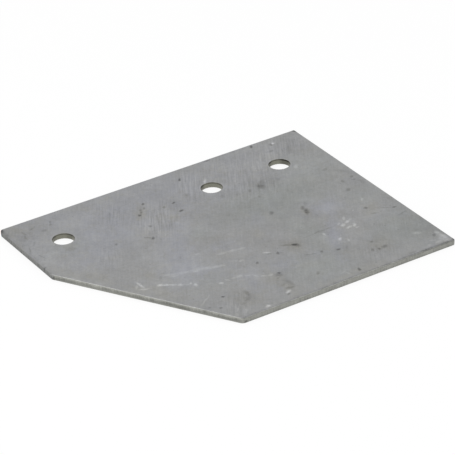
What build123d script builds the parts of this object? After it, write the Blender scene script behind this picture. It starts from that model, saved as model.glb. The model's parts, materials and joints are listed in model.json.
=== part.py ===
import os

from build123d import *

# Sickle section: one flat steel knife plate, in millimetres.
# It is sheared from sheet to an outline of five corners, with one long slanting edge, and punched
# with three bolt holes in a row behind its long straight edge.
# It lies flat on its underside. X runs along the holed edge, +Y points out through that edge, and
# Z is up. The origin is on the underside, in the middle of the outline's box.

# Outline
holed_edge_length = 180.0
plate_width = 145.5
front_edge_length = 126.0
short_end_length = 54.5
short_end_corner_radius = 2.0
square_end_corner_radius = 1.0
blunt_corner_radius = 3.0

# Stock
plate_thickness = 3.0

# Bolt holes: one near the short end, and a pair near the square end
bolt_hole_diameter = 11.0
hole_row_setback = 27.5
single_hole_from_short_end = 22.0
pair_from_square_end = 27.5
pair_pitch = 42.0

# Sheared walls: a rolled rim on top, a straight burnished band, and a break that leans inwards
shear_rim_radius = 0.45
shear_break_height = 1.3
shear_break_lean = 0.15

# Punched hole walls: a rolled rim on top, a straight burnished band, and a break that flares out
hole_rim_radius = 0.25
hole_break_height = 0.7
hole_break_flare = 0.25

# Places that follow from the sizes above
short_end_x = -holed_edge_length / 2
square_end_x = holed_edge_length / 2
holed_edge_y = plate_width / 2
front_edge_y = -plate_width / 2
hole_row_y = holed_edge_y - hole_row_setback
last_hole_x = square_end_x - pair_from_square_end

outline_corners = [
    (short_end_x, holed_edge_y),
    (square_end_x, holed_edge_y),
    (square_end_x, front_edge_y),
    (square_end_x - front_edge_length, front_edge_y),
    (short_end_x, holed_edge_y - short_end_length),
]
outline_radii = [
    short_end_corner_radius,
    square_end_corner_radius,
    square_end_corner_radius,
    blunt_corner_radius,
    blunt_corner_radius,
]

hole_centres = [
    (short_end_x + single_hole_from_short_end, hole_row_y),
    (last_hole_x - pair_pitch, hole_row_y),
    (last_hole_x, hole_row_y),
]

with BuildPart() as sickle_section:
    # The blank, as thick as the sheet it is sheared from
    with BuildSketch(Plane.XY):
        with BuildLine():
            FilletPolyline(*outline_corners, radius=outline_radii, close=True)
        make_face()
    extrude(amount=plate_thickness)

    # Three holes punched through it
    with Locations(*hole_centres):
        Hole(bolt_hole_diameter / 2)

    # The tool pulls the top face down into a rolled rim, round the plate and round each hole
    top_face = sickle_section.faces().sort_by(Axis.Z)[-1]
    fillet(top_face.outer_wire().edges(), shear_rim_radius)
    top_face = sickle_section.faces().sort_by(Axis.Z)[-1]
    fillet(top_face.inner_wires().edges(), hole_rim_radius)

    # The metal breaks away before the tool is through, so the lower walls lean off the cut line
    underside = sickle_section.faces().sort_by(Axis.Z)[0]
    chamfer(
        underside.outer_wire().edges(),
        shear_break_lean,
        shear_break_height,
        reference=underside,
    )
    underside = sickle_section.faces().sort_by(Axis.Z)[0]
    chamfer(
        underside.inner_wires().edges(),
        hole_break_flare,
        hole_break_height,
        reference=underside,
    )

sickle_section.part.label = "sickle_section"
os.makedirs("parts", exist_ok=True)
export_step(sickle_section.part, "parts/sickle_section.step")
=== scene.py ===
import json
import math

import bpy
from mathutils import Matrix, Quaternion, Vector


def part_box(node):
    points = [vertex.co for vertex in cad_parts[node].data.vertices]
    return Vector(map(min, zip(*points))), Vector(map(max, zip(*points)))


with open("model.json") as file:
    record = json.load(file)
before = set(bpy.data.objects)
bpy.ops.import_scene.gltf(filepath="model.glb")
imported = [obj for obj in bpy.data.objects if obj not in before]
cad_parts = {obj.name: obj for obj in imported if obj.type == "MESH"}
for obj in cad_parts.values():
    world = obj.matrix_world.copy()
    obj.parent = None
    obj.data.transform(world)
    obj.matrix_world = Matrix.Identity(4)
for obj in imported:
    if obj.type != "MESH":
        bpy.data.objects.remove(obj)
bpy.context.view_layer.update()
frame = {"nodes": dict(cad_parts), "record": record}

# Sickle section: one flat steel knife plate, lying on a pale floor.
# The plate keeps its CAD mesh. Its steel is laid out in the plate's own frame, in millimetres:
# X runs along the holed edge, Y points out through that edge, and Z is up.
MM = 0.001

# The plate, from the frame
PLATE = "sickle_section"
plate_low, plate_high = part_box(PLATE)
plate_middle = (plate_low + plate_high) / 2
THICKNESS = (plate_high.z - plate_low.z) / MM
HOLES = [mount for mount in frame["record"]["mounts"] if mount["kind"] == "bore"]
HOLE_RADIUS = HOLES[0]["dims"]["r_mm"]

# The outline's corners. The blunt ones aren't in the frame's box, so their places are named here
BLUNT_FRONT_X = -36.0
BLUNT_SIDE_Y = 18.25
SHORT_END_CORNER = (plate_low.x / MM, plate_high.y / MM)
BLUNT_SIDE_CORNER = (plate_low.x / MM, BLUNT_SIDE_Y)
BLUNT_FRONT_CORNER = (BLUNT_FRONT_X, plate_low.y / MM)
FAR_FRONT_CORNER = (plate_high.x / MM, plate_low.y / MM)

# Camera: a long lens, looking down on the plate from beyond its slanting edge
CAMERA_AZIMUTH = math.radians(-30.98)
CAMERA_ELEVATION = math.radians(29.95)
CAMERA_ROLL = math.radians(-2.85)
CAMERA_DISTANCE = 1.4256
CAMERA_AIM = Vector((4.9 * MM, 5.4 * MM, THICKNESS * MM))
LENS_MM = 222.97
SENSOR_MM = 36.0

# Studio
WORLD_LIGHT = 0.8
FLOOR_SIZE = 8.0
FLOOR_DROP = 0.1 * MM
FLOOR_WHITE = 0.92
FLOOR_GLOW = 0.86
KEY_PLACE = (-0.96, 0.15, 1.14)
KEY_SIZE = 0.7
KEY_POWER = 6.0
FILL_PLACE = (0.9, -1.0, 0.9)
FILL_SIZE = 1.2
FILL_POWER = 5.0

# A size so large that a mark's height doesn't count, and how far past its size a mark fades out
BIG = 1000.0
MARK_SPREAD = 1.25


def make_camera():
    """A camera at the photograph's angle, with no shift and no depth of field."""
    data = bpy.data.cameras.new("camera")
    data.sensor_width = SENSOR_MM
    data.lens = LENS_MM
    data.clip_start = 0.01
    data.clip_end = 50
    camera = bpy.data.objects.new("camera", data)
    flat = math.cos(CAMERA_ELEVATION)
    back = Vector((
        math.sin(CAMERA_AZIMUTH) * flat,
        -math.cos(CAMERA_AZIMUTH) * flat,
        math.sin(CAMERA_ELEVATION),
    ))
    camera.location = CAMERA_AIM + back * CAMERA_DISTANCE
    level = (-back).to_track_quat("-Z", "Y")
    camera.rotation_mode = "QUATERNION"
    camera.rotation_quaternion = level @ Quaternion((0, 0, 1), CAMERA_ROLL)
    bpy.context.scene.collection.objects.link(camera)
    bpy.context.scene.camera = camera


class Graph:
    """Adds nodes to one shader tree. Any input may be a plain value or another node's output."""

    def __init__(self, tree):
        self.tree = tree
        self.tree.nodes.clear()

    def feed(self, socket, value):
        if isinstance(value, bpy.types.NodeSocket):
            self.tree.links.new(value, socket)
        else:
            socket.default_value = value

    def node(self, kind, inputs=(), **settings):
        made = self.tree.nodes.new(kind)
        for name, value in settings.items():
            setattr(made, name, value)
        for name, value in dict(inputs).items():
            self.feed(made.inputs[name], value)
        return made

    def maths(self, operation, *values):
        made = self.node("ShaderNodeMath", operation=operation)
        for socket, value in zip(made.inputs, values):
            self.feed(socket, value)
        return made.outputs[0]

    def vectors(self, operation, *values):
        made = self.node("ShaderNodeVectorMath", operation=operation)
        for socket, value in zip(made.inputs, values):
            self.feed(socket, value)
        scalar = operation in ("DOT_PRODUCT", "LENGTH", "DISTANCE")
        return made.outputs["Value" if scalar else "Vector"]

    def scaled(self, vector, factor):
        made = self.node("ShaderNodeVectorMath", operation="SCALE")
        self.feed(made.inputs["Vector"], vector)
        self.feed(made.inputs["Scale"], factor)
        return made.outputs["Vector"]

    def product(self, *values):
        whole = values[0]
        for value in values[1:]:
            whole = self.maths("MULTIPLY", whole, value)
        return whole

    def total(self, start, *parts):
        """start, plus each part's value times its amount."""
        whole = start
        for value, amount in parts:
            whole = self.maths("MULTIPLY_ADD", value, amount, whole)
        return whole

    def ramp(self, value, low, high, to_low=0.0, to_high=1.0):
        """A smooth step: to_low where value is under low, to_high where it is over high."""
        made = self.node(
            "ShaderNodeMapRange",
            {
                "Value": value,
                "From Min": low,
                "From Max": high,
                "To Min": to_low,
                "To Max": to_high,
            },
            interpolation_type="SMOOTHSTEP",
        )
        return made.outputs["Result"]

    def band(self, value, low, high, fade):
        """1 from low to high, fading to 0 outside them."""
        rising = self.ramp(value, low - fade, low)
        return self.product(rising, self.ramp(value, high, high + fade, 1.0, 0.0))

    def noise(self, place, grain, detail=2.0, roughness=0.5, seed=0.0):
        """Noise whose largest features are about grain across, from about -0.5 to 0.5."""
        made = self.node(
            "ShaderNodeTexNoise",
            {
                "Vector": place,
                "W": seed,
                "Scale": 1.0 / grain,
                "Detail": detail,
                "Roughness": roughness,
            },
            noise_dimensions="4D",
        )
        return self.maths("SUBTRACT", made.outputs["Fac"], 0.5)

    def warped(self, place, grain, reach, seed):
        """place, moved about by up to half of reach, for uneven edges."""
        made = self.node(
            "ShaderNodeTexNoise",
            {"Vector": place, "W": seed, "Scale": 1.0 / grain, "Detail": 2.0},
            noise_dimensions="4D",
        )
        centred = self.vectors("SUBTRACT", made.outputs["Color"], (0.5, 0.5, 0.5))
        return self.vectors("ADD", place, self.scaled(centred, reach))

    def mapped(self, place, centre=(0, 0, 0), turn=0.0, size=(1, 1, 1)):
        """place as seen from centre, in axes turned about Z, and measured in units of size."""
        made = self.node(
            "ShaderNodeMapping",
            {
                "Vector": place,
                "Location": centre,
                "Rotation": (0, 0, math.radians(turn)),
                "Scale": size,
            },
            vector_type="TEXTURE",
        )
        return made.outputs["Vector"]

    def oval(self, place, x, y, half_length, half_width, angle, strength, core):
        """One mark: full strength inside core of its size, fading to nothing just past its edge."""
        size = (half_length * MARK_SPREAD, half_width * MARK_SPREAD, BIG)
        seen = self.mapped(place, (x, y, 0), angle, size)
        ball = self.node("ShaderNodeTexGradient", {"Vector": seen}, gradient_type="SPHERICAL")
        return self.ramp(ball.outputs["Fac"], 0.0, 1.0 - core, 0.0, strength)

    def strongest(self, place, marks, core=0.15):
        """The strongest of the marks at each point."""
        most = 0.0
        for mark in marks:
            most = self.maths("MAXIMUM", most, self.oval(place, *mark, core))
        return most

    def summed(self, place, marks, core=0.0):
        """All the marks at each point, added up."""
        whole = 0.0
        for mark in marks:
            whole = self.maths("ADD", whole, self.oval(place, *mark, core))
        return whole

    def mix(self, share, first, second):
        made = self.node("ShaderNodeMix", data_type="RGBA")
        self.feed(made.inputs["Factor"], share)
        self.feed(made.inputs["A"], first)
        self.feed(made.inputs["B"], second)
        return made.outputs["Result"]

    def inward(self, place, start, end):
        """How far a point lies in from the wall that runs from start to end, anticlockwise."""
        run = (Vector(end) - Vector(start)).normalized()
        inside = Vector((-run.y, run.x, 0))
        offset = inside.dot(Vector((*start, 0)))
        return self.maths("SUBTRACT", self.vectors("DOT_PRODUCT", place, inside), offset)


def rays_that_see_white(graph):
    """1 for rays that should find a white background: those of the camera, gloss and glass."""
    path = graph.node("ShaderNodeLightPath")
    seen = graph.maths("MAXIMUM", path.outputs["Is Camera Ray"], path.outputs["Is Glossy Ray"])
    return graph.maths("MAXIMUM", seen, path.outputs["Is Transmission Ray"])


def make_world():
    """White where it is seen, and a little dimmer where it lights."""
    world = bpy.data.worlds.new("studio")
    world.use_nodes = True
    graph = Graph(world.node_tree)
    strength = graph.ramp(rays_that_see_white(graph), 0.0, 1.0, WORLD_LIGHT, 1.0)
    sky = graph.node("ShaderNodeBackground", {"Color": (1, 1, 1, 1), "Strength": strength})
    graph.node("ShaderNodeOutputWorld", {"Surface": sky.outputs[0]})
    bpy.context.scene.world = world


def make_floor():
    """A white floor that keeps the plate's shadow, and is clear from below."""
    bpy.ops.mesh.primitive_plane_add(size=FLOOR_SIZE, location=(0, 0, -FLOOR_DROP))
    floor = bpy.context.object
    floor.name = "floor"
    material = bpy.data.materials.new("white_floor")
    material.use_nodes = True
    graph = Graph(material.node_tree)
    white = (FLOOR_WHITE, FLOOR_WHITE, FLOOR_WHITE, 1)
    paint = graph.node("ShaderNodeBsdfDiffuse", {"Color": white})
    glow = graph.node("ShaderNodeEmission", {"Color": (1, 1, 1, 1), "Strength": 1.0})
    share = graph.product(rays_that_see_white(graph), FLOOR_GLOW)
    lit = graph.node("ShaderNodeMixShader", {0: share, 1: paint.outputs[0], 2: glow.outputs[0]})
    clear = graph.node("ShaderNodeBsdfTransparent")
    below = graph.node("ShaderNodeNewGeometry").outputs["Backfacing"]
    sided = graph.node("ShaderNodeMixShader", {0: below, 1: lit.outputs[0], 2: clear.outputs[0]})
    graph.node("ShaderNodeOutputMaterial", {"Surface": sided.outputs[0]})
    floor.data.materials.append(material)


def make_lamp(name, place, size, power):
    """A soft square lamp that faces the plate."""
    data = bpy.data.lights.new(name, "AREA")
    data.shape = "SQUARE"
    data.size = size
    data.energy = power
    lamp = bpy.data.objects.new(name, data)
    lamp.location = place
    lamp.rotation_euler = (plate_middle - Vector(place)).to_track_quat("-Z", "Y").to_euler()
    bpy.context.scene.collection.objects.link(lamp)


# Marks, each as x, y, half length and half width in mm, angle in degrees, and strength.
# All of them were laid out at the places where the photograph shows them.
# Pits are dents in the top face. Their strength is their depth and darkness
PITS = [
    # Between the single hole and the pair
    (-17.2, 51.7, 1.4, 0.9, 59, 0.85),
    (-24.8, 42.7, 1.4, 0.9, 59, 0.95),
    (-5.0, 34.2, 1.7, 1.1, 25, 0.9),
    (-4.0, 43.6, 1.6, 0.9, 30, 0.75),
    (-31.0, 18.6, 1.7, 1.0, 59, 0.75),
    (-26.1, 30.1, 1.4, 0.9, 59, 0.65),
    (-49.2, 24.5, 1.4, 0.9, 60, 0.45),
    (11.3, 62.4, 1.8, 1.0, 59, 1.0),
    # Behind the pair
    (61.0, 70.3, 2.0, 0.9, 59, 1.0),
    # The middle
    (31.0, 4.4, 2.0, 1.2, 59, 0.5),
    (72.2, -20.0, 1.2, 1.0, 20, 0.7),
    (84.5, -28.0, 1.3, 0.8, -20, 0.65),
    (22.9, -29.2, 2.4, 1.3, -31, 0.75),
    (11.4, -31.0, 1.7, 0.9, 59, 0.75),
    # Near the front edge and the blunt corners
    (1.5, -47.7, 1.2, 0.9, -20, 0.7),
    (38.0, -46.0, 1.4, 1.0, -10, 0.65),
    (-33.0, -50.0, 1.3, 0.9, -31, 1.0),
    (54.3, -57.6, 1.3, 0.9, 59, 0.6),
    (57.8, -57.2, 2.2, 1.4, 30, 0.55),
    (35.0, -68.0, 1.9, 0.9, 70, 0.7),
    (-43.8, -54.7, 1.0, 0.8, 0, 0.45),
    (-39.1, -58.4, 1.1, 0.9, 0, 0.55),
    (84.0, -63.0, 1.7, 0.9, 59, 0.5),
]

# Stains and dark strokes on the top face, which have no depth, and one painted shadow beside a pit
STAINS_AND_PIT_SHADOW = [
    # The short end
    (-65.1, 64.4, 1.5, 0.9, 59, 0.55),
    (-66.0, 62.0, 1.4, 0.8, 59, 0.5),
    (-71.5, 58.5, 2.2, 1.4, 40, 0.25),
    (-83.0, 57.5, 3.2, 0.6, 80, 0.3),
    (-87.0, 45.5, 3.6, 0.5, 66, 0.4),
    (-85.5, 36.5, 3.0, 0.5, 110, 0.3),
    (-82.0, 50.0, 3.0, 0.5, 50, 0.25),
    (-76.5, 63.5, 3.0, 0.6, 20, 0.25),
    (-31.5, 55.0, 1.3, 0.6, 60, 0.3),
    (-81.5, 62.2, 2.6, 0.6, 100, 0.35),
    (-36.2, 53.5, 1.2, 0.6, 60, 0.3),
    (-69.5, 34.5, 3.5, 2.5, 0, 0.2),
    # Between the holes
    (-19.1, 47.8, 1.3, 0.8, 59, 0.55),
    (-21.5, 47.2, 1.3, 0.8, 59, 0.45),
    (-22.3, 44.8, 1.4, 0.7, 50, 0.5),
    (-32.8, 20.6, 2.8, 0.6, -50, 0.5),
    (-10.0, 42.3, 1.5, 0.8, 59, 0.6),
    (6.0, 46.5, 2.0, 1.1, 59, 0.3),
    # Around the pair
    (34.6, 30.6, 1.7, 0.9, 59, 0.35),
    (41.8, 31.2, 3.4, 2.5, 90, 0.6),
    (43.5, 34.0, 3.6, 1.8, 50, 0.25),
    (53.0, 32.0, 1.5, 0.9, 59, 0.25),
    (35.2, 22.5, 1.7, 0.9, 59, 0.3),
    (70.6, 66.0, 1.7, 1.2, 60, 0.65),
    (67.0, 59.9, 1.7, 1.3, 0, 0.5),
    (78.5, 26.0, 2.0, 1.0, 20, 0.35),
    (76.0, 0.9, 2.2, 1.2, 59, 0.55),
    (85.3, 11.5, 1.8, 1.0, 40, 0.6),
    (79.0, 10.2, 2.0, 0.9, 59, 0.35),
    (84.6, 8.3, 1.5, 0.9, 0, 0.35),
    (84.5, 19.5, 5.0, 1.8, -50, 0.2),
    (86.6, 5.0, 5.0, 1.6, -80, 0.15),
    (50.0, 71.2, 1.5, 0.8, 0, 0.3),
    (34.0, 71.4, 2.0, 0.9, 0, 0.7),
    (20.0, 34.5, 2.4, 1.6, 30, 0.2),
    (27.0, 31.0, 1.8, 0.9, 59, 0.25),
    # The middle
    (46.4, -0.8, 2.4, 1.6, 59, 0.8),
    (46.2, -4.8, 3.8, 1.5, 66, 0.8),
    (50.0, 2.2, 3.6, 1.2, 59, 0.25),
    (19.8, -27.3, 5.0, 0.9, -27, 0.5),
    # A painted shadow, beside the pit at 22.9, -29.2
    (23.6, -31.0, 2.6, 1.4, -31, 0.35),
    (81.5, -26.2, 4.0, 0.5, -33, 0.4),
    (73.1, -27.1, 2.6, 1.0, -20, 0.4),
    (13.2, -32.0, 1.3, 0.7, -30, 0.35),
    (-2.0, -32.8, 1.5, 0.9, 59, 0.8),
    (-9.2, -32.1, 1.4, 0.8, 59, 0.3),
    (29.8, -43.0, 1.8, 0.9, 59, 0.7),
    (22.3, -41.2, 2.2, 0.5, -40, 0.45),
    (25.4, -42.3, 2.2, 0.5, -8, 0.4),
    (7.4, -29.4, 1.6, 0.5, -20, 0.3),
    (-30.0, -6.0, 1.7, 0.8, 59, 0.3),
    (-48.0, -16.5, 2.1, 0.9, 59, 0.25),
    # Near the front edge
    (-21.6, -54.4, 3.4, 1.5, 85, 0.45),
    (-24.0, -58.8, 3.2, 1.8, 40, 0.3),
    (-28.0, -61.0, 2.0, 1.2, 0, 0.2),
    (55.4, -50.0, 1.4, 0.9, 59, 0.45),
    (51.2, -56.5, 1.8, 0.7, 60, 0.5),
    (42.2, -46.4, 1.8, 0.8, 59, 0.3),
    (0.3, -57.5, 5.5, 1.8, 92, 0.3),
    (-1.5, -62.3, 3.2, 1.3, -10, 0.45),
    (-3.4, -58.2, 1.8, 1.0, 30, 0.3),
    (0.2, -48.9, 2.6, 1.7, -20, 0.35),
    (-1.7, -51.4, 1.2, 0.6, 20, 0.35),
    (16.7, -59.0, 1.8, 0.9, 59, 0.5),
    (65.5, -70.4, 2.6, 1.0, 0, 0.35),
    (-5.8, -67.0, 1.5, 0.8, 25, 0.5),
    (84.5, -35.2, 4.2, 0.8, 15, 0.3),
    (41.0, -25.7, 11.0, 0.9, 4, 0.3),
]

# Chips and scratches on the top face, which show fresh metal
CHIPS = [
    # Down the left side
    (-59.8, -16.5, 4.2, 1.0, 93, 1.0),
    (-60.0, -21.3, 3.6, 0.8, -22, 0.65),
    (-62.5, -17.5, 2.6, 0.6, 60, 0.4),
    (-52.0, -22.5, 1.8, 1.5, 0, 1.0),
    (-49.6, -24.2, 2.6, 0.9, -35, 0.85),
    (-46.8, -26.0, 2.6, 0.9, -35, 0.75),
    (-43.8, -28.2, 1.7, 1.2, -30, 0.7),
    (-40.6, -29.8, 2.2, 0.6, -31, 0.3),
    (-38.9, -30.2, 1.3, 0.8, 60, 0.7),
    (-37.6, -32.6, 1.9, 1.0, 80, 0.75),
    (-32.0, -35.6, 3.6, 0.6, -31, 0.15),
    (-41.8, -48.0, 6.0, 0.6, 36, 0.35),
    # Long arcs of rubbed metal
    (-43.0, -16.9, 4.2, 1.6, -27, 0.32),
    (-41.8, -19.2, 3.4, 0.8, -25, 0.25),
    (-36.5, -19.3, 4.0, 1.5, -17, 0.28),
    (-30.6, -21.4, 1.7, 1.3, 0, 0.45),
    (-29.0, -20.7, 5.0, 1.8, -10, 0.32),
    (-24.3, -22.7, 3.8, 1.9, -20, 0.32),
    (-19.8, -24.2, 4.4, 1.4, -14, 0.48),
    (-10.5, -24.2, 3.8, 0.9, -33, 0.25),
    (-7.3, -26.3, 1.7, 1.1, 0, 0.4),
    (-11.0, -14.6, 3.8, 1.3, -8, 0.34),
    (-5.5, -15.4, 3.8, 1.3, -12, 0.36),
    (-0.8, -16.5, 2.6, 1.1, -12, 0.34),
    (-26.5, -13.0, 8.0, 1.0, 64, 0.15),
    (-22.0, 30.0, 11.0, 0.6, 64, 0.2),
    (-21.5, -7.8, 1.5, 1.1, 0, 0.3),
    # The middle
    (-26.7, -38.7, 1.4, 1.1, 0, 0.75),
    (-22.7, -38.2, 1.9, 0.8, -45, 0.4),
    (-18.6, -38.4, 3.0, 1.0, -6, 0.25),
    (-15.7, -38.4, 2.0, 1.3, -20, 0.45),
    (-12.0, -40.4, 3.0, 0.8, -33, 0.25),
    (-9.3, -42.7, 2.3, 0.6, -60, 0.3),
    (-6.4, -45.3, 2.0, 0.7, -28, 0.4),
    (-3.2, -46.4, 2.0, 0.8, -10, 0.45),
    (7.2, -27.2, 2.6, 0.8, -27, 0.75),
    (40.3, -29.5, 1.9, 0.8, 90, 0.7),
    (44.3, -38.0, 1.8, 1.1, 60, 0.85),
    (47.0, -41.5, 1.6, 0.9, 70, 0.6),
    (53.1, -27.6, 1.9, 1.2, 40, 0.9),
    (54.6, -30.9, 2.2, 1.0, 10, 0.75),
    (57.9, -30.8, 1.9, 1.0, 50, 0.75),
    (57.8, -33.4, 1.5, 0.9, 0, 0.45),
    (56.7, -25.8, 2.2, 1.1, 20, 0.75),
    (52.1, -25.2, 1.5, 0.9, 40, 0.5),
    (57.2, -22.4, 2.2, 0.9, 50, 0.6),
    (59.4, -24.6, 1.2, 0.9, 0, 0.35),
    (75.9, -11.5, 1.8, 0.7, 55, 0.5),
    (65.7, -18.0, 1.2, 0.7, 30, 0.3),
    (78.5, -56.0, 2.6, 1.5, -31, 0.4),
    # Near the front edge and the far corner
    (-4.5, -64.8, 2.3, 1.2, 25, 1.0),
    (-19.8, -70.3, 1.9, 1.2, 10, 1.0),
    (86.8, -61.8, 2.2, 1.4, -80, 0.7),
    (87.2, -66.4, 4.2, 1.8, -86, 0.8),
    (85.4, -67.8, 2.8, 2.0, 60, 0.5),
    (83.0, -69.6, 3.6, 1.4, 0, 0.45),
    (86.4, -70.4, 2.6, 1.0, 4, 0.5),
    (80.5, -67.0, 2.6, 0.7, -31, 0.3),
    (76.5, -69.5, 1.6, 0.9, 0, 0.3),
    (-36.0, -58.6, 3.0, 0.6, 62, 0.25),
    (-30.4, -67.4, 2.6, 0.8, 58, 0.35),
    (-36.5, -68.5, 2.4, 0.9, 58, 0.3),
    (-33.4, -64.0, 2.8, 0.7, 58, 0.45),
    (28.6, -68.0, 2.6, 0.6, 95, 0.2),
    (27.0, -65.8, 1.8, 0.5, 15, 0.35),
    # Beside the holes
    (21.5, 53.5, 3.8, 0.9, 60, 0.75),
    (72.7, 66.5, 1.4, 0.9, 0, 1.0),
    (68.2, 38.0, 2.6, 1.3, 50, 0.4),
]

# Stains and chips at the outline, which run down the walls too
OUTLINE_STAINS = [
    (89.6, 71.8, 2.2, 1.6, -60, 1.0),
    (-89.4, 71.6, 1.2, 2.0, 0, 0.45),
    (-90.0, 26.0, 1.4, 1.0, 0, 0.35),
    (89.6, -71.8, 0.5, 1.6, 0, 0.5),
]
OUTLINE_CHIPS = [
    (-36.5, -72.3, 1.2, 1.0, 0, 0.25),
    (87.0, -71.8, 1.6, 0.6, 0, 0.4),
]

# Dark streaks low on the near walls
WALL_STREAKS = [
    (-86.8, 12.8, 6.0, 1.2, -59, 0.8),
    (-60.3, -31.8, 16.0, 1.2, -59, 0.5),
    (-52.7, -44.5, 4.5, 1.2, -59, 1.2),
    (-48.4, -51.8, 4.0, 1.2, -59, 0.5),
    (-40.9, -64.6, 8.0, 1.2, -59, 0.7),
    (-34.2, -72.8, 1.0, 0.9, 0, 2.4),
    (20.0, -72.8, 3.0, 1.0, 0, 0.6),
    (58.0, -72.8, 3.0, 1.0, 0, 0.6),
]

# Shaded stretches of the hole walls, at the left of each, and at the right of the first and last
HOLE_SHADES = [
    (-72.0, 49.2, 3.2, 1.8, 45, 0.6),
    (16.4, 49.2, 3.2, 1.8, 45, 1.0),
    (58.4, 49.2, 3.2, 1.8, 45, 1.0),
    (67.6, 47.4, 3.6, 1.8, 110, 1.0),
    (-63.0, 47.6, 2.4, 1.4, 110, 0.5),
]

# Broad patches of the faces that are lighter or duller than the rest, in levels of 256
PATCHES = [
    (-34, -18, 28, 36, 0, 5.0),
    (-58, -20, 10, 10, 0, 4.0),
    (-77, 25, 13, 15, 0, 3.0),
    (-45, 57, 16, 14, 0, 2.0),
    (-22, 15, 18, 24, 0, 2.0),
    (-14, -45, 14, 20, 0, 2.5),
    (55, -28, 8, 8, 0, 8.0),
    (58, -10, 10, 8, 0, 6.0),
    (53, 51, 10, 9, 0, 5.0),
    (68, 34, 7, 6, 0, 3.0),
    (-80, 61, 18, 14, 0, -7.0),
    (-55, 66, 14, 6, 0, -5.0),
    (44, 31, 12, 11, 0, -7.0),
    (13, 12, 16, 16, 0, -4.0),
    (38, 15, 30, 15, 0, -3.0),
    (22, -29, 9, 8, 0, -6.0),
    (46, -4, 7, 10, -28, -6.0),
    (87, -32, 9, 28, 0, -5.0),
    (83, -58, 15, 18, 0, -9.0),
    (56, -54, 13, 11, 0, -6.0),
    (35, -68, 8, 9, 0, -6.0),
    (-24, -55, 9, 9, 0, -5.0),
    (-1, -60, 7, 11, 0, -4.0),
    (79, 57, 12, 16, 0, -6.0),
    (-86, 40, 8, 24, 0, 3.0),
    (-62, 8, 6, 9, -30, -2.0),
    (-38, 6, 7, 9, -30, 2.0),
    (8, -12, 10, 6, 0, -2.0),
    (37, -23, 16, 8, 0, -4.0),
    (70, -42, 16, 16, 0, -2.0),
    (-31, 18, 6, 6, 0, -3.0),
    (-21, 48, 10, 5, 55, -5.0),
    (-5, 42, 9, 8, 0, -4.0),
    (-52, -11, 7, 8, 0, -4.0),
    (85, 8, 7, 16, 0, -3.0),
    (40, -45, 8, 5, 0, -3.0),
    # The last two, the broadest, are painted light: the face a little lighter at the left and
    # darker at the right
    (30, -2, 90, 70, 0, -1.5),
    (-60, 25, 50, 60, 0, 1.5),
]

# Where the steel is tinted bluish, greenish or brownish
BLUE_PATCHES = [
    (-20, 55, 110, 40, 0, 0.45),
    (-46, 36, 28, 18, 62, 0.45),
    (-68, 20, 18, 12, 62, 0.5),
    (-32, -8, 38, 14, 66, 0.75),
    (-24, -26, 12, 12, 0, 0.3),
    (-14, 22, 24, 8, 58, 0.4),
    (-8, -10, 12, 8, 0, 0.5),
    (-14, -46, 16, 10, 80, 0.4),
    (8, -42, 10, 8, 0, 0.5),
    (21, 5, 8, 6, 60, 0.5),
    (26, -44, 8, 6, 0, 0.4),
    (56, -7, 13, 10, 0, 0.8),
    (44, -33, 28, 5, 60, 0.8),
    (36, -54, 8, 4, 50, 0.4),
]
GREEN_PATCHES = [
    (40, 16, 46, 24, 0, 0.9),
    (76, 36, 22, 22, 0, 0.5),
    (22, -54, 26, 22, 0, 0.7),
    (36, -22, 12, 26, 0, 0.7),
    (78, -48, 26, 24, 0, 0.8),
    (80, -8, 18, 14, 0, 0.5),
    (-10, 8, 8, 10, 0, 0.5),
    (-32, -28, 20, 20, 0, 0.4),
    (-68, 35, 16, 10, 0, 0.5),
]
BROWN_PATCHES = [
    (-82, 64, 18, 10, 0, 0.3),
    (-70, 36, 6, 5, 0, 0.5),
    (-78, 8, 22, 6, -60, 0.5),
    (-55, -30, 26, 6, -60, 0.5),
    (-24, -58, 11, 10, 0, 0.5),
    (-3, -56, 6, 18, 0, 0.6),
    (22, -30, 6, 10, -20, 0.8),
    (74, -22, 13, 6, 60, 0.6),
    (58, -54, 7, 9, 0, 0.6),
    (-22, 46, 12, 4, 55, 0.6),
    (-12, 30, 5, 5, 0, 0.5),
    (-52, -11, 8, 6, 0, 0.4),
    (14, -10, 4, 8, 0, 0.4),
    (30, -70, 40, 5, 0, 0.4),
    (46, -4, 8, 5, 60, 0.5),
]

# Where the lapping lines show most
LAPPED_PATCHES = [
    (-20, 33, 13, 20, -30, 1.0),
    (13, 54, 10, 18, -30, 1.0),
    (40, 46, 22, 30, -20, 0.7),
    (60, 56, 16, 16, 0, 0.6),
    (76, 60, 12, 16, 0, 0.7),
    (-36, 52, 10, 14, -30, 0.5),
    (-60, 16, 7, 11, -30, 0.7),
    (47, 27, 5, 9, -30, 0.8),
    (-33, -64, 8, 14, -30, 0.8),
    (52, -60, 10, 10, -40, 0.4),
]

# Where the faces are more mottled than elsewhere: at the short end
ROUGH_PATCH = (-84, 45, 32, 16, 90, 1.0)

# Steel, as linear colours
BLUISH_STEEL = (0.291, 0.298, 0.325, 1)
PLAIN_STEEL = (0.294, 0.296, 0.297, 1)
GREENISH_STEEL = (0.282, 0.294, 0.286, 1)
BROWNISH_STEEL = (0.294, 0.290, 0.268, 1)
SHEARED_STEEL = (0.282, 0.284, 0.262, 1)
PUNCHED_STEEL = (0.300, 0.298, 0.248, 1)
STEEL_ROUGHNESS = 0.42

# One level of 256 at the steel's tone, as a share of its brightness
LEVEL = 0.0145
DARKEST = 0.08

# Tones of the faces' marks and mottling, in levels of 256
MOTTLE = 58.0
ROUGH_MOTTLE = 34.0
LAPPING_LINES = 50.0
DARK_SPECK = -14.0
LIGHT_SPECK = 10.0
# Stains, and the painted shadow beside one pit
STAIN_AND_PIT_SHADOW = -38.0
PIT = -46.0
CHIP = 40.0
OUTLINE_STAIN = -70.0
OUTLINE_CHIP = 40.0
# A painted highlight in a thin ring round each hole, on the top face
HOLE_RING_HIGHLIGHT = 4.0

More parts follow.
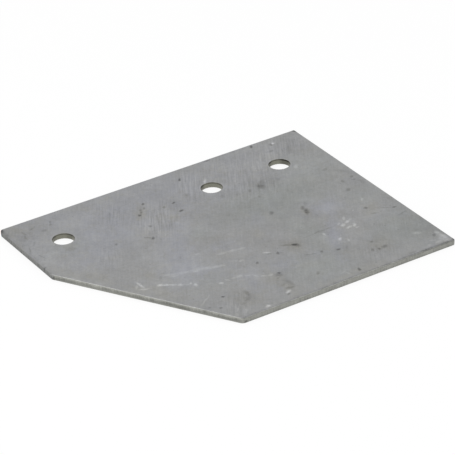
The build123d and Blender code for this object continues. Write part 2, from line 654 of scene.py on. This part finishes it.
# Sizes of the faces' texture, in millimetres
MOTTLE_GRAIN = 22.0
ROUGH_GRAIN = 5.0
SPECK_SPACING = 3.5
LINE_LENGTH = 12.0
LINE_WIDTH = 0.9
TINGE_GRAIN = 12.0
BREAK_GRAIN = 1.5
FINE_GRAIN = 1.4
FINE_RELIEF = 0.02
PIT_DEPTH = 0.05

# How the lapping lines run, and how strong they are outside their patches
LAPPING_ANGLE = 60.0
LAPPED_ELSEWHERE = 0.35

# Sizes of the walls' texture, in millimetres
DRAG_WIDTH = 0.8
DRAG_LENGTH = 6.0
WEAR_GRAIN = 6.0
WALL_GRAIN = 0.6
JAG_GRAIN = 1.6

# Tones of the walls and of the edges above them, in levels of 256
# Painted shade on the short end: its wall darker, most at its foot, and its rim darker, most
# towards its corner
SHORT_END_FOOT_SHADE = -30.0
SHORT_END_TOP_SHADE = -13.0
SHORT_END_EDGE_SHADE = -4.0
SHORT_END_CORNER_EDGE_SHADE = -16.0
# Painted light on the slanting wall, with a darker band low down and a painted highlight on its
# upper part; painted shade on its rolled rim, and a painted highlight on the face along its edge
SLANTING_WALL_LIGHT = 6.0
SLANTING_BAND = -12.0
SLANTING_UPPER_WALL_HIGHLIGHT = 6.0
SLANTING_RIM_SHADE = -13.0
SLANTING_EDGE_HIGHLIGHT = 7.0
# Painted light on the front wall, a little lighter and darker at its foot; painted shade on its
# rim, most towards the far corner
FRONT_WALL_LIGHT = 3.0
FRONT_FOOT = -7.0
FRONT_EDGE_SHADE = -15.0
FRONT_CORNER_EDGE_SHADE = -19.0
# Painted shade in the holes: the walls darker, a darker band under the rim, and darker stretches at
# the sides
HOLE_WALL_SHADE = -15.0
HOLE_RIM_SHADE = -24.0
HOLE_SHADE = -22.0
WALL_STREAK = -13.0


def nearest_hole_distance(graph, place):
    """How far a point is from the axis of the nearest hole."""
    nearest = BIG
    for hole in HOLES:
        x, y = hole["pos_m"][:2]
        offset = graph.vectors("SUBTRACT", place, (x / MM, y / MM, 0))
        distance = graph.vectors("LENGTH", graph.vectors("MULTIPLY", offset, (1, 1, 0)))
        nearest = graph.maths("MINIMUM", nearest, distance)
    return nearest


def face_tones(graph, place, uneven):
    """The faces in levels: broad patches, mottling, lapping lines and specks."""
    patches = graph.summed(place, PATCHES)
    mottle = graph.noise(place, MOTTLE_GRAIN, 6.5, 1.0, 1.0)
    coarse = graph.noise(place, ROUGH_GRAIN, 3.0, 0.8, 2.0)
    rough = graph.oval(place, *ROUGH_PATCH, 0.3)
    line_size = (LINE_LENGTH, LINE_WIDTH, LINE_LENGTH)
    lapping = graph.mapped(place, turn=LAPPING_ANGLE, size=line_size)
    lines = graph.noise(lapping, 1.0, 3.0, 0.6, 5.0)
    lapped = graph.maths("ADD", graph.strongest(place, LAPPED_PATCHES, 0.2), LAPPED_ELSEWHERE)
    cells = graph.node("ShaderNodeTexVoronoi", {"Vector": uneven, "Scale": 1 / SPECK_SPACING})
    speck = graph.ramp(cells.outputs["Distance"], 0.06, 0.16, 1.0, 0.0)
    kind = graph.vectors("DOT_PRODUCT", cells.outputs["Color"], (1, 0, 0))
    dark_speck = graph.ramp(kind, 0.5, 1.0, 0.0, DARK_SPECK)
    light_speck = graph.ramp(kind, 0.0, 0.3, LIGHT_SPECK, 0.0)
    speck_tone = graph.maths("ADD", dark_speck, light_speck)
    return graph.total(
        graph.maths("MULTIPLY", mottle, MOTTLE),
        (patches, 1.0),
        (graph.product(coarse, rough), ROUGH_MOTTLE),
        (graph.product(lines, lapped), LAPPING_LINES),
        (graph.product(speck, speck_tone), 1.0),
    )


def edge_fade(graph, depth, jagged, reach, start, end):
    """1 at a wall, fading to 0 inside it along a jagged line."""
    return graph.ramp(graph.total(depth, (jagged, reach)), start, end, 1.0, 0.0)


def wall_tones(graph, place, upward, height):
    """The near walls and the edges above them in levels: painted light and shade for each wall and
    its rim, patchy along the rims, over drag lines and streaks.

    Also the share of the sheared walls' tint, which is half at the short end and full elsewhere.
    """
    end_depth = graph.inward(place, SHORT_END_CORNER, BLUNT_SIDE_CORNER)
    slant_depth = graph.inward(place, BLUNT_SIDE_CORNER, BLUNT_FRONT_CORNER)
    front_depth = graph.inward(place, BLUNT_FRONT_CORNER, FAR_FRONT_CORNER)
    along_x = graph.vectors("DOT_PRODUCT", place, (1, 0, 0))
    along_y = graph.vectors("DOT_PRODUCT", place, (0, 1, 0))

    # Drag lines run up the walls, and wear comes and goes along them
    wall = graph.ramp(upward, 0.1, 0.8, 1.0, 0.0)
    dragged = graph.mapped(place, size=(DRAG_WIDTH, DRAG_WIDTH, DRAG_LENGTH))
    drag = graph.noise(dragged, 1.0, 3.0, 0.6, 11.0)
    wear = graph.noise(place, WEAR_GRAIN, 4.0, 0.7, 12.0)
    grain = graph.noise(place, WALL_GRAIN, 2.0, 0.6, 13.0)
    # How patchy the rims' painted shade and highlight are along their length
    edge_patchiness = graph.ramp(wear, -0.15, 0.15, 0.3, 1.6)
    ragged = graph.total(height, (drag, 1.4), (wear, 2.2))
    streaks = graph.total(0.0, (drag, 50.0), (wear, 50.0), (grain, 20.0))

    # Painted shade on the short end wall, darkest at its foot
    end_tone = graph.ramp(ragged, 0.8, THICKNESS, SHORT_END_FOOT_SHADE, SHORT_END_TOP_SHADE)
    end_wall = graph.product(graph.ramp(end_depth, 0.5, 1.0, 1.0, 0.0), end_tone)
    # Painted light up the slanting wall: lighter overall, darker in a band low down, and a painted
    # highlight higher up
    slant_tone = graph.total(
        SLANTING_WALL_LIGHT,
        (graph.band(ragged, 0.9, 1.8, 0.5), SLANTING_BAND),
        (graph.ramp(ragged, 1.9, 2.5), SLANTING_UPPER_WALL_HIGHLIGHT),
    )
    slant_wall = graph.product(graph.ramp(slant_depth, 0.5, 1.0, 1.0, 0.0), slant_tone)
    # Painted light on the front wall, darker at its foot
    front_tone = graph.ramp(ragged, 0.4, 1.2, FRONT_FOOT, FRONT_WALL_LIGHT)
    front_wall = graph.product(graph.ramp(front_depth, 0.5, 1.0, 1.0, 0.0), front_tone)
    streak_marks = graph.strongest(place, WALL_STREAKS, 0.3)
    dark_streaks = graph.product(streak_marks, graph.band(ragged, 0.5, 1.4, 0.4))
    walls = graph.total(
        streaks,
        (end_wall, 1.0),
        (slant_wall, 1.0),
        (front_wall, 1.0),
        (dark_streaks, WALL_STREAK),
    )

    # The edges: the rolled rim, and the first millimetre or two of the face inside it, with painted
    # shade on the rims and a painted highlight along the slanting one, patchy along them
    upper = graph.ramp(height, THICKNESS - 0.8, THICKNESS - 0.2)
    rolled = graph.band(upward, 0.4, 0.9, 0.2)
    jagged = graph.noise(place, JAG_GRAIN, 3.0, 0.8, 14.0)
    end_edge = graph.product(upper, edge_fade(graph, end_depth, jagged, 2.5, 0.2, 2.2))
    slant_edge = graph.product(upper, edge_fade(graph, slant_depth, jagged, 4.0, 0.2, 2.8))
    front_edge = graph.product(upper, edge_fade(graph, front_depth, jagged, 2.5, 0.3, 1.8))
    # Painted shade along the short end's rim
    end_rim_shade = graph.total(
        SHORT_END_EDGE_SHADE,
        (graph.ramp(along_y, 55.0, 70.0), SHORT_END_CORNER_EDGE_SHADE),
    )
    # Painted shade along the front rim, deepest towards the far corner
    front_rim_shade = graph.total(
        graph.maths("MULTIPLY", edge_patchiness, FRONT_EDGE_SHADE),
        (graph.ramp(along_x, 40.0, 80.0), FRONT_CORNER_EDGE_SHADE),
    )
    rim_shade_and_highlight = graph.total(
        graph.product(end_edge, edge_patchiness, end_rim_shade),
        (graph.product(slant_edge, edge_patchiness), SLANTING_EDGE_HIGHLIGHT),
        (graph.product(slant_edge, rolled), SLANTING_RIM_SHADE),
        (graph.product(front_edge, front_rim_shade), 1.0),
    )
    levels = graph.total(rim_shade_and_highlight, (graph.product(wall, walls), 1.0))
    sheared = graph.ramp(end_depth, 0.3, 0.8, 0.5, 1.0)
    return levels, sheared


def bare_steel():
    """Dull bare sheet steel, with lapping lines, pits, stains and scuffs on its faces, and painted
    light, shade and shadow on its faces, walls, rims and holes.
    """
    material = bpy.data.materials.new("bare_steel")
    material.use_nodes = True
    graph = Graph(material.node_tree)
    coordinates = graph.node("ShaderNodeTexCoord")
    place = graph.scaled(coordinates.outputs["Object"], 1 / MM)
    upward = graph.vectors("DOT_PRODUCT", coordinates.outputs["Normal"], (0, 0, 1))
    height = graph.vectors("DOT_PRODUCT", place, (0, 0, 1))
    top = graph.ramp(upward, 0.6, 0.95)
    face = graph.ramp(graph.maths("ABSOLUTE", upward), 0.5, 0.9)
    uneven = graph.warped(graph.warped(place, 3.0, 1.6, 3.0), 0.8, 1.2, 4.0)

    # Tones, in levels of 256
    faces = face_tones(graph, place, uneven)
    walls, sheared = wall_tones(graph, place, upward, height)
    broken = graph.total(1.0, (graph.noise(place, BREAK_GRAIN, 3.0, 0.7, 8.0), 2.2))
    # Stains, with the painted shadow beside one pit among them
    stains_and_pit_shadow = graph.strongest(uneven, STAINS_AND_PIT_SHADOW)
    pits = graph.strongest(uneven, PITS)
    chips = graph.strongest(uneven, CHIPS)
    outline_stains = graph.product(
        graph.strongest(uneven, OUTLINE_STAINS),
        graph.ramp(height, 0.8, 2.6, 0.3, 1.0),
    )
    outline_chips = graph.strongest(uneven, OUTLINE_CHIPS)
    # Painted shade in the holes: darker walls, a darker band under the rim, and darker stretches at
    # the sides
    from_hole = nearest_hole_distance(graph, place)
    in_hole = graph.ramp(from_hole, HOLE_RADIUS + 0.1, HOLE_RADIUS + 0.5, 1.0, 0.0)
    outside = graph.ramp(in_hole, 0.0, 0.5, 1.0, 0.0)
    hole_rim_shade = graph.product(in_hole, graph.ramp(height, THICKNESS - 0.9, THICKNESS - 0.4))
    hole_shades = graph.product(in_hole, graph.strongest(place, HOLE_SHADES, 0.3))
    # A painted highlight in a thin ring just outside each hole
    hole_ring_highlight = graph.band(from_hole, HOLE_RADIUS + 0.6, HOLE_RADIUS + 0.9, 0.4)
    levels = graph.total(
        graph.product(faces, face),
        (graph.product(walls, outside), 1.0),
        (graph.product(stains_and_pit_shadow, top, broken), STAIN_AND_PIT_SHADOW),
        (graph.product(pits, top), PIT),
        (graph.product(chips, top, broken), CHIP),
        (outline_stains, OUTLINE_STAIN),
        (outline_chips, OUTLINE_CHIP),
        (in_hole, HOLE_WALL_SHADE),
        (hole_rim_shade, HOLE_RIM_SHADE),
        (hole_shades, HOLE_SHADE),
        (graph.product(hole_ring_highlight, top), HOLE_RING_HIGHLIGHT),
    )
    brightness = graph.maths("MAXIMUM", graph.total(1.0, (levels, LEVEL)), DARKEST)

    # Tints
    tinge = graph.noise(place, TINGE_GRAIN, 6.0, 1.0, 7.0)
    blue = graph.total(graph.summed(place, BLUE_PATCHES), (tinge, 2.6))
    green = graph.total(graph.summed(place, GREEN_PATCHES), (tinge, 1.0))
    brown = graph.total(graph.summed(place, BROWN_PATCHES), (tinge, -2.8), (stains_and_pit_shadow, 0.5))
    steel = graph.mix(green, PLAIN_STEEL, GREENISH_STEEL)
    steel = graph.mix(blue, steel, BLUISH_STEEL)
    steel = graph.mix(brown, steel, BROWNISH_STEEL)
    steel = graph.mix(graph.ramp(face, 0.0, 1.0, sheared, 0.0), steel, SHEARED_STEEL)
    steel = graph.mix(in_hole, steel, PUNCHED_STEEL)
    colour = graph.scaled(steel, brightness)

    # Relief, in millimetres
    fine = graph.noise(place, FINE_GRAIN, 3.0, 0.6, 6.0)
    relief = graph.total(
        graph.maths("MULTIPLY", fine, FINE_RELIEF),
        (graph.product(pits, top), -PIT_DEPTH),
    )
    bump = graph.node("ShaderNodeBump", {"Height": relief, "Strength": 1.0, "Distance": MM})
    roughness = graph.total(STEEL_ROUGHNESS, (fine, 0.25), (face, -0.04), (chips, -0.1))
    surface = graph.node(
        "ShaderNodeBsdfPrincipled",
        {
            "Base Color": colour,
            "Metallic": 1.0,
            "Roughness": roughness,
            "Normal": bump.outputs["Normal"],
        },
    )
    graph.node("ShaderNodeOutputMaterial", {"Surface": surface.outputs[0]})
    return material


bpy.context.scene.view_settings.view_transform = "Standard"
make_camera()
make_world()
make_floor()
make_lamp("key", KEY_PLACE, KEY_SIZE, KEY_POWER)
make_lamp("fill", FILL_PLACE, FILL_SIZE, FILL_POWER)

plate = frame["nodes"][PLATE]
plate.data.materials[0] = bare_steel()
